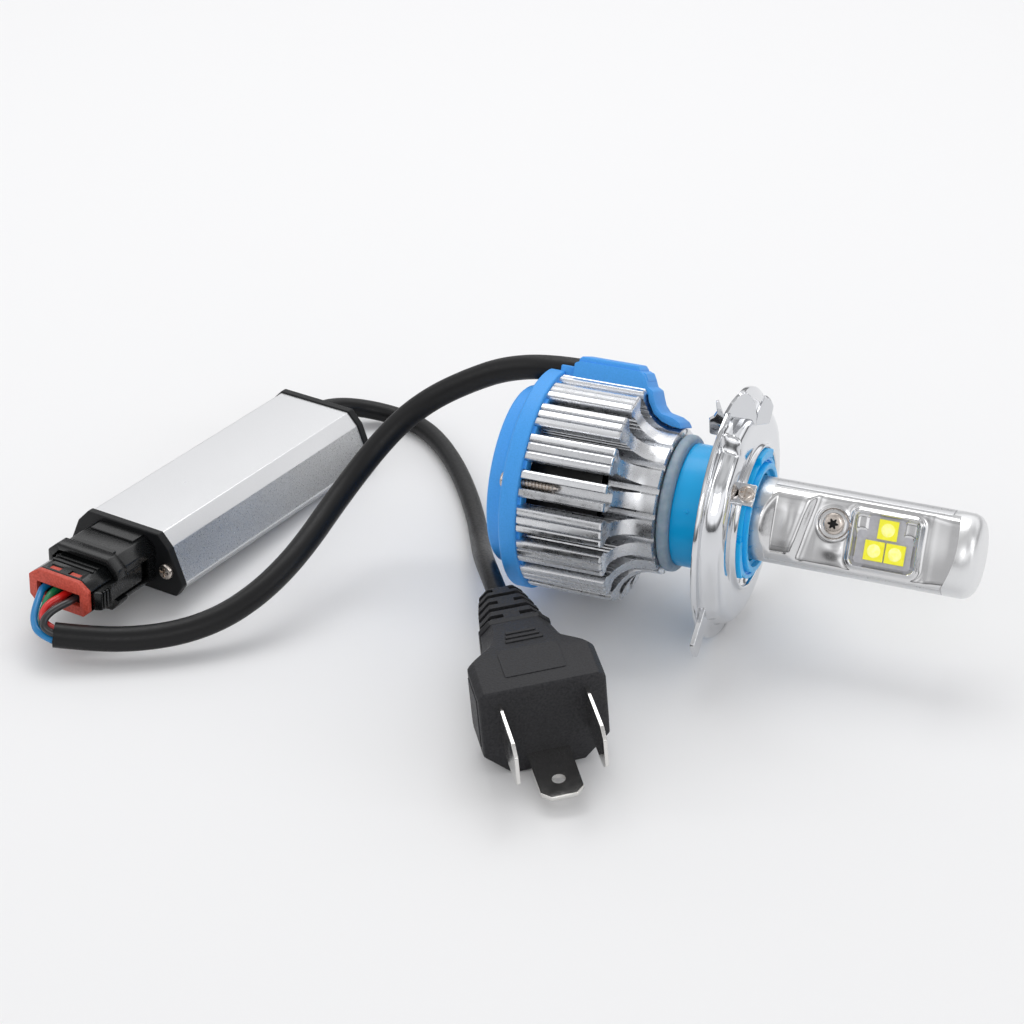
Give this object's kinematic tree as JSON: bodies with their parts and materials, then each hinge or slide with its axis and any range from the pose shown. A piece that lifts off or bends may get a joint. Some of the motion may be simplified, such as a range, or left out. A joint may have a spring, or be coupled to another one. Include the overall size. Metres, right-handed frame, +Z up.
{
  "type": "led headlight bulb",
  "caption": "LED headlight bulb: lugged flange, emitter post, finned heat sink with fan, inline driver box with a locking connector, and a bladed plug on a cord.",
  "frame": {"origin": "centre of the flange's locating ring, in the plane of its back face", "axes": "+X along the bulb's axis towards the emitter tip, +Z up from the surface that the part lies on"},
  "size_m": [0.1558, 0.1132, 0.0458],
  "materials": {
    "chromed_steel": "polished stamped steel",
    "screw_steel": "bright zinc plated",
    "blue_anodised": "glossy blue anodised",
    "seal_silicone": "translucent silicone",
    "machined_aluminium": "machined, bright",
    "post_aluminium": "satin",
    "board_white": "solder resist, grey white",
    "led_phosphor": "yellow phosphor under clear silicone",
    "polished_plate": "mirror polished",
    "fan_black": "black",
    "fan_frame": "black",
    "board_green": "green solder resist",
    "bearing_brass": "sintered",
    "stator_steel": "laminated steel",
    "copper_wire": "enamelled copper",
    "ferrite": "sintered ferrite",
    "shaft_steel": "ground",
    "blue_plastic": "fine grain",
    "case_aluminium": "bead blasted",
    "cap_black": "semi gloss",
    "connector_black": "moulded, semi gloss",
    "gland_rubber": "matte",
    "capacitor_sleeve": "shrink sleeve",
    "chip_black": "moulded epoxy",
    "tinned_contact": "tin plated",
    "retainer_red": "fine grain",
    "plug_black": "fine grain",
    "cord_black": "matte sheath",
    "core_blue": "insulated core",
    "core_green": "insulated core",
    "core_red": "insulated core",
    "core_black": "insulated core"
  },
  "bodies": {
    "bulb": {"plate_screws": "screw_steel", "cover_screws": "screw_steel", "cap_screws": "screw_steel", "bayonet_collar": "blue_anodised", "seal_ring": "seal_silicone", "heatsink_body": "machined_aluminium", "led_post": "post_aluminium", "tip_cap": "post_aluminium", "led_board_near": "board_white", "led_board_far": "board_white", "led_chips_near": "led_phosphor", "led_chips_far": "led_phosphor", "reflector_near": "polished_plate", "reflector_far": "polished_plate", "fan_base": "fan_frame", "fan_pcb": "board_green", "driver_pcb": "board_green", "fan_bearing": "bearing_brass", "stator_core": "stator_steel", "stator_coils": "copper_wire", "choke_winding": "copper_wire", "choke_core": "ferrite", "rear_cover": "blue_plastic", "wire_channel": "blue_plastic", "driver_case": "case_aluminium", "front_cap": "cap_black", "rear_cap": "cap_black", "plug_housing": "connector_black", "gland": "gland_rubber", "capacitors": "capacitor_sleeve", "driver_chips": "chip_black", "receptacle_pins": "tinned_contact", "plug_terminals": "tinned_contact", "plug_blades": "tinned_contact", "plug_body": "plug_black", "bulb_lead": "cord_black", "input_lead": "cord_black", "wire_blue": "core_blue", "wire_green": "core_green", "wire_red": "core_red", "wire_black": "core_black"},
    "flange_ring": {"flange": "chromed_steel", "flange_screw": "screw_steel"},
    "fan_rotor": {"impeller": "fan_black", "rotor_magnet": "ferrite", "fan_shaft": "shaft_steel"},
    "latch": {"latch_lever": "connector_black"},
    "retainer": {"wire_retainer": "retainer_red"}
  },
  "joints": [
    {"name": "flange_twist", "type": "hinge", "parent": "bulb", "child": "flange_ring", "pos_m": [0.0045, 0, 0], "axis": [1, 0, 0], "range_deg": [-30, 30]},
    {"name": "fan_spin", "type": "hinge", "parent": "bulb", "child": "fan_rotor", "pos_m": [-0.0265, 0, 0], "axis": [1, 0, 0], "continuous": true},
    {"name": "latch_press", "type": "hinge", "parent": "bulb", "child": "latch", "pos_m": [-0.09506, -0.03241, -0.01354], "axis": [-0.008, -0.0411, -0.9991], "range_deg": [0, 1.8], "stiffness_Nm_per_rad": 0.2},
    {"name": "retainer_slide", "type": "slide", "parent": "bulb", "child": "retainer", "axis": [-0.1906, -0.9808, 0.0419], "range_m": [0, 0.001]}
  ]
}
